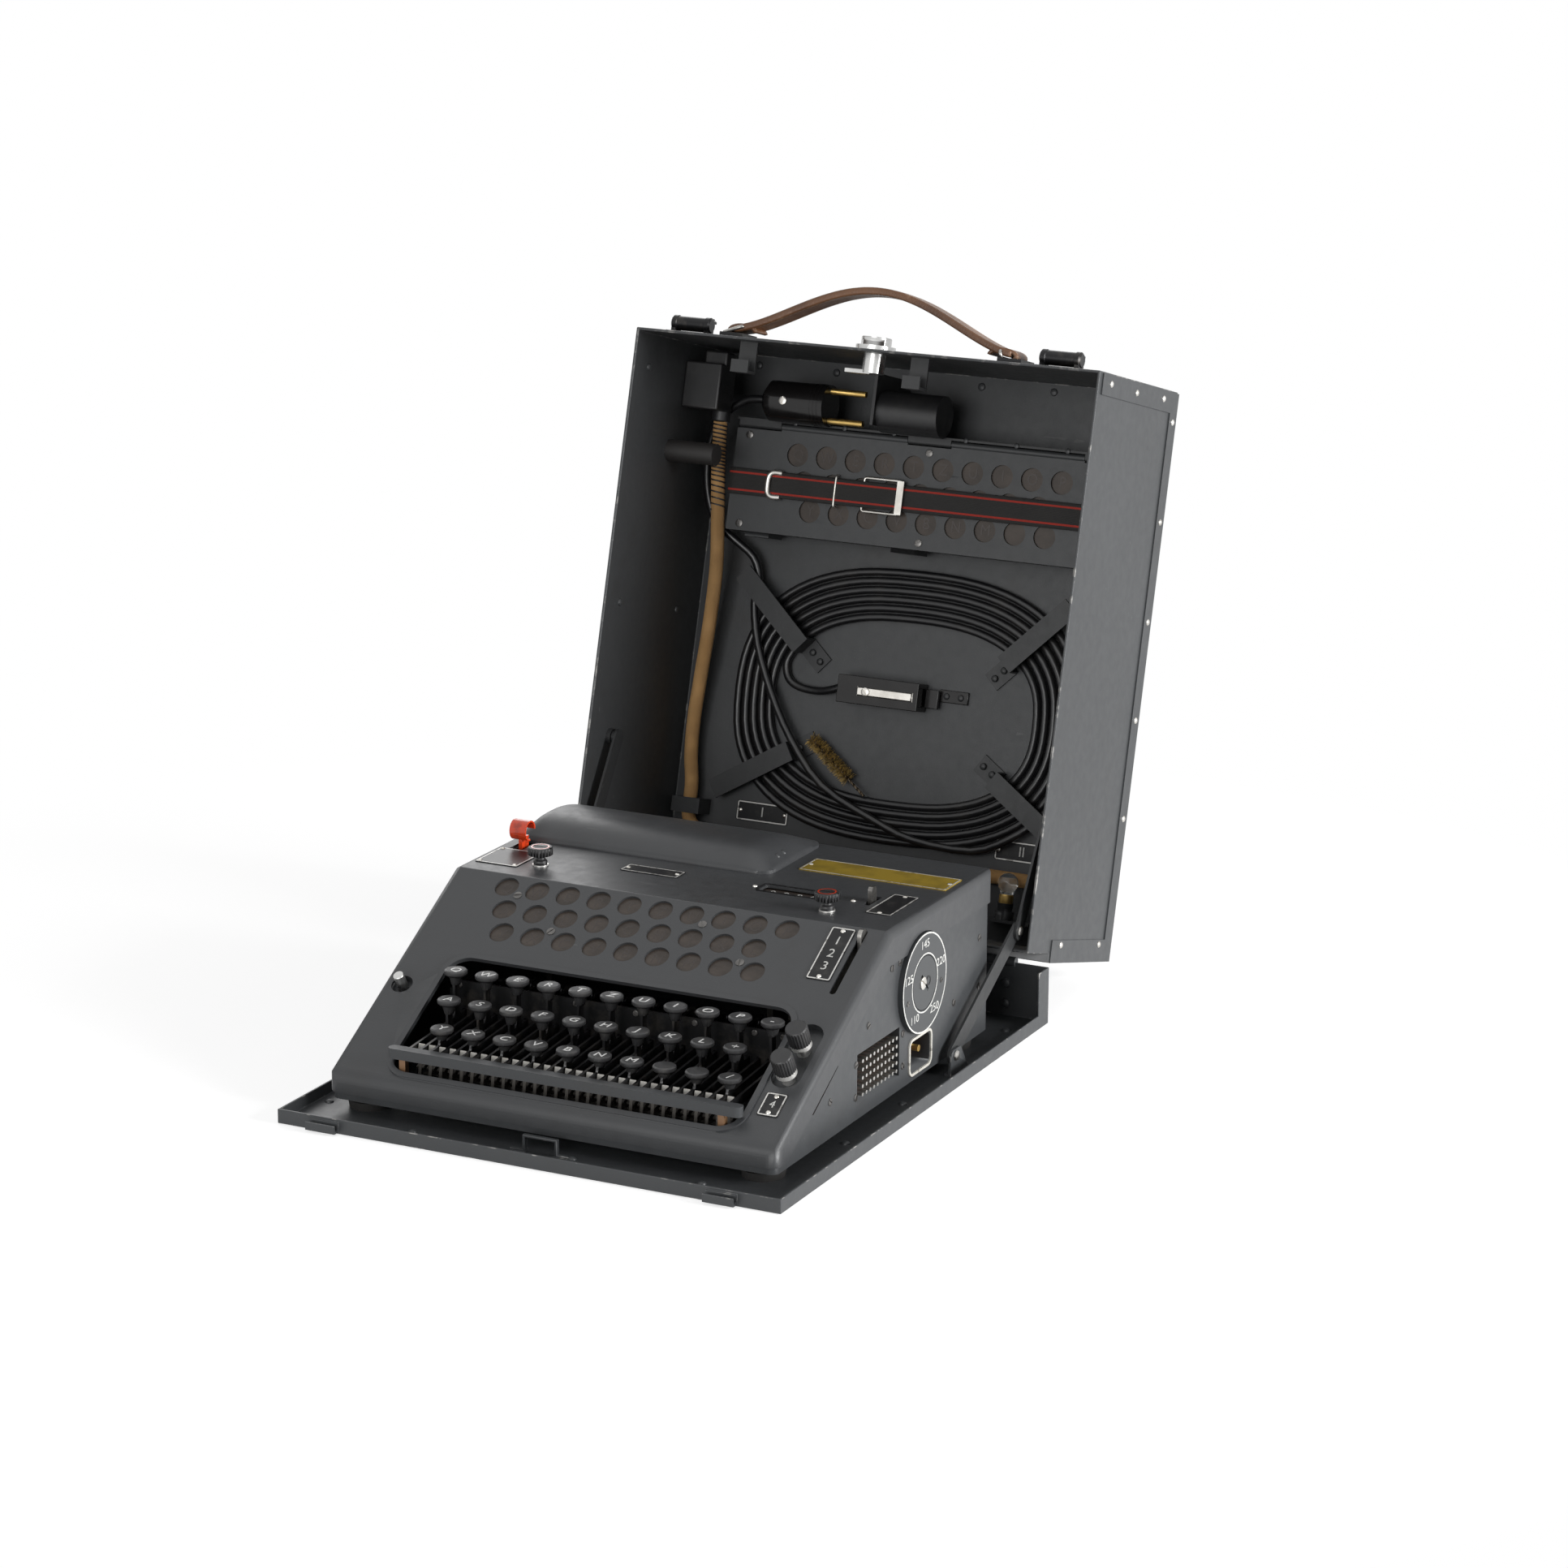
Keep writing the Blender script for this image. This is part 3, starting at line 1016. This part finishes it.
# Handle: a stitched leather strap bowed between two end loops of bent steel.
# Its hide is darker in the hollows and scuffed pale on the crown.
leather = Finish("brown_leather", "brown_leather", (0.085, 0.036, 0.018), 0.45)
hide_u, hide_v = leather.round_and_along()
hide = leather.steps(leather.noise(30, 6), 0.32, 0.72)
hide = leather.mix(hide, (0.1, 0.043, 0.02), (0.24, 0.112, 0.052))
scuffs = leather.steps(leather.noise(120, 6), 0.6, 0.74) * 0.6
stitch = (hide_u.between(0.09, 0.125) + hide_u.between(0.875, 0.91)) * ((hide_v * 6).fold(0.5) > 0.14)
hide = leather.mix(scuffs, hide, (0.34, 0.21, 0.13))
leather.put("Base Color", leather.mix(stitch * 0.8, hide, (0.5, 0.38, 0.24)))
leather.sheen(200, 4, -0.8, 2.2)
leather.relief((leather.cells(900), 0.25, 0.0004), (stitch, 0.5, 0.0004))
HANDLE_L, HANDLE_R, HANDLE_TOP, HANDLE_V = 62, 252, 31, 20
half = (HANDLE_R - HANDLE_L) / 2
bow = [Vector((HANDLE_L + half + half * t, HANDLE_V, LID_TOP + 5.6 + HANDLE_TOP * max(cos(pi / 2 * t), 0) ** 1.5))
       for t in (i / 32 for i in range(-32, 33))]
grip = ribbon("leather_grip", bow, 19, 4.6, REAR, leather, "lid", crown=-0.2)
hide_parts("carry_handle")
round_corners(grip, "worn corners", 1.3)
for side, x, lean in (("left", HANDLE_L, 1), ("right", HANDLE_R, -1)):
    name, tip = f"handle_loop_{side}", x + 7 * lean
    wire_frame(name, [(x - 6, 10.5, 356), (tip, 9.4, 360.5), (tip, 30.6, 360.5), (x - 6, 29.5, 356)], 2.4,
               worn_steel, "lid")
    turns = [Vector((x + lean * (6 - 9 * cos(a)), HANDLE_V, 357.6 + 3.9 * sin(a)))
             for a in (i * pi / 12 for i in range(-6, 13))]
    ribbon(name + "_leather", turns, 17, 2.0, REAR, leather, "lid")


# Cleaning brush: rings of bristles on a twisted brass wire, beside the coil.
# The bristles are thin three-sided cones, drawn at random round the wire.
straw = Finish("bristle", "tan_cloth", (0.36, 0.24, 0.085), 0.6)
straw.mottle(330, 2, (0.075, 0.045, 0.014), (0.6, 0.41, 0.13), (0.35, 0.62))
brush_wire = Finish("brush_wire", "brass_wire", (0.1, 0.075, 0.05), 0.4, 0.8)
BRUSH = LID @ shift((97, COIL_V - 4.2, 108.7)) @ turn_by(radians(37.7), "Y") @ turn_by(pi / 2, "Y")
BRISTLES = 1100


def bristles(bm):
    pick = random.Random(5)
    for i in range(BRISTLES):
        share = i / BRISTLES
        turn = turn_by(2 * pi * 8 * share + pi * (i % 2) + pick.uniform(-0.45, 0.45), "Z")
        lean = turn_by(pi / 2 + pick.uniform(-0.3, 0.3), "Y")
        long = 4.9 + pick.uniform(-1.0, 0.8)
        ops.create_cone(bm, cap_ends=True, segments=3, radius1=0.2, radius2=0.13, depth=long,
                              matrix=shift((0, 0, 1 + 37 * share)) @ turn @ lean @ shift((0, 0, long / 2 + 0.4)))


solid("brush_bristles", bristles, (), straw, "lid", BRUSH, node="cleaning_brush", flat=True)
for strand, phase in (("a", 0), ("b", pi)):
    twist = [Vector((0.55 * cos(i * 0.5 + phase), 0.55 * sin(i * 0.5 + phase), i * 0.54)) for i in range(100)]
    round_stock(f"brush_wire_{strand}", twist, 1.05, brush_wire, "lid", BRUSH, fine=1)


# Stays: two pairs of flat steel straps that stop the open lid, joined by
# domed pivots of bare steel.
dress("lower_stays", "stays_low", dark_paint, crease=35)
dress("upper_stays", "stays_high", dark_paint, crease=35)
stay_heads = [((x, y, z), way, body) for x, way in ((307 + 3.9, RIGHT), (13 - 3.9, LEFT))
              for y, z, body in ((250, 13, "case"), (341, 63.8, "lower_stay"))]
for i, (at, way, body) in enumerate(stay_heads):
    rivets(f"stay_rivet_{i}", [(at, way)], 6.4, 1.3, worn_steel, body)


# Floor and light: a white floor that fades to pure white away from the case,
# a strong soft lamp on the right, weaker ones in front and behind, and a
# faint one above, in a white room.
floor_paint = Finish("white_floor", None, (0.8, 0.8, 0.8), 0.9, Specular_IOR_Level=0.0, Emission_Strength=1.0)
far = floor_paint.node("VectorMath", {"operation": "LENGTH"}, [floor_paint.place()], 1)
away = floor_paint.steps(far, 0.3, 0.75)
floor_paint.put("Base Color", floor_paint.mix(away, (0.8, 0.8, 0.8), (0, 0, 0)))
glow = floor_paint.mix(away, (0.66, 0.66, 0.66), (1, 1, 1))
floor_paint.put("Emission Color", floor_paint.mix(floor_paint.seen(), (0, 0, 0), glow))
bm = bmesh.new()
ops.create_grid(bm, x_segments=1, y_segments=1, size=60, matrix=shift((0, 0, -0.0003)))
floor = in_scene("floor", as_mesh(bm, "floor"))
floor.data.materials.append(floor_paint.material)


def soft_lamp(name, at, target, size, watts):
    lamp = data.lights.new(name, "AREA")
    lamp.size, lamp.energy = size, watts
    way = Vector(target) - Vector(at)
    in_scene(name, lamp).matrix_world = shift(at) @ way.to_track_quat("-Z", "Y").to_matrix().to_4x4()


soft_lamp("right_lamp", (2.5, 0.2, 0.65), (0, 0.1, 0.18), 1.1, 76)
soft_lamp("front_lamp", (0.1, -2.5, 0.65), (0, 0, 0.15), 1.5, 30)
soft_lamp("top_lamp", (-0.2, -0.2, 2.4), (0, 0, 0.1), 1.6, 3)
soft_lamp("rear_lamp", (-1.6, 2.2, 1.3), (0, 0, 0.15), 1.4, 12)
world = data.worlds.new("white_studio")
studio = Shader(world, "Background")
studio.put("Color", (1, 1, 1, 1))
studio.put("Strength", studio.node("MapRange", {}, {"Value": studio.seen(), "To Min": 0.16}))
scene.world = world
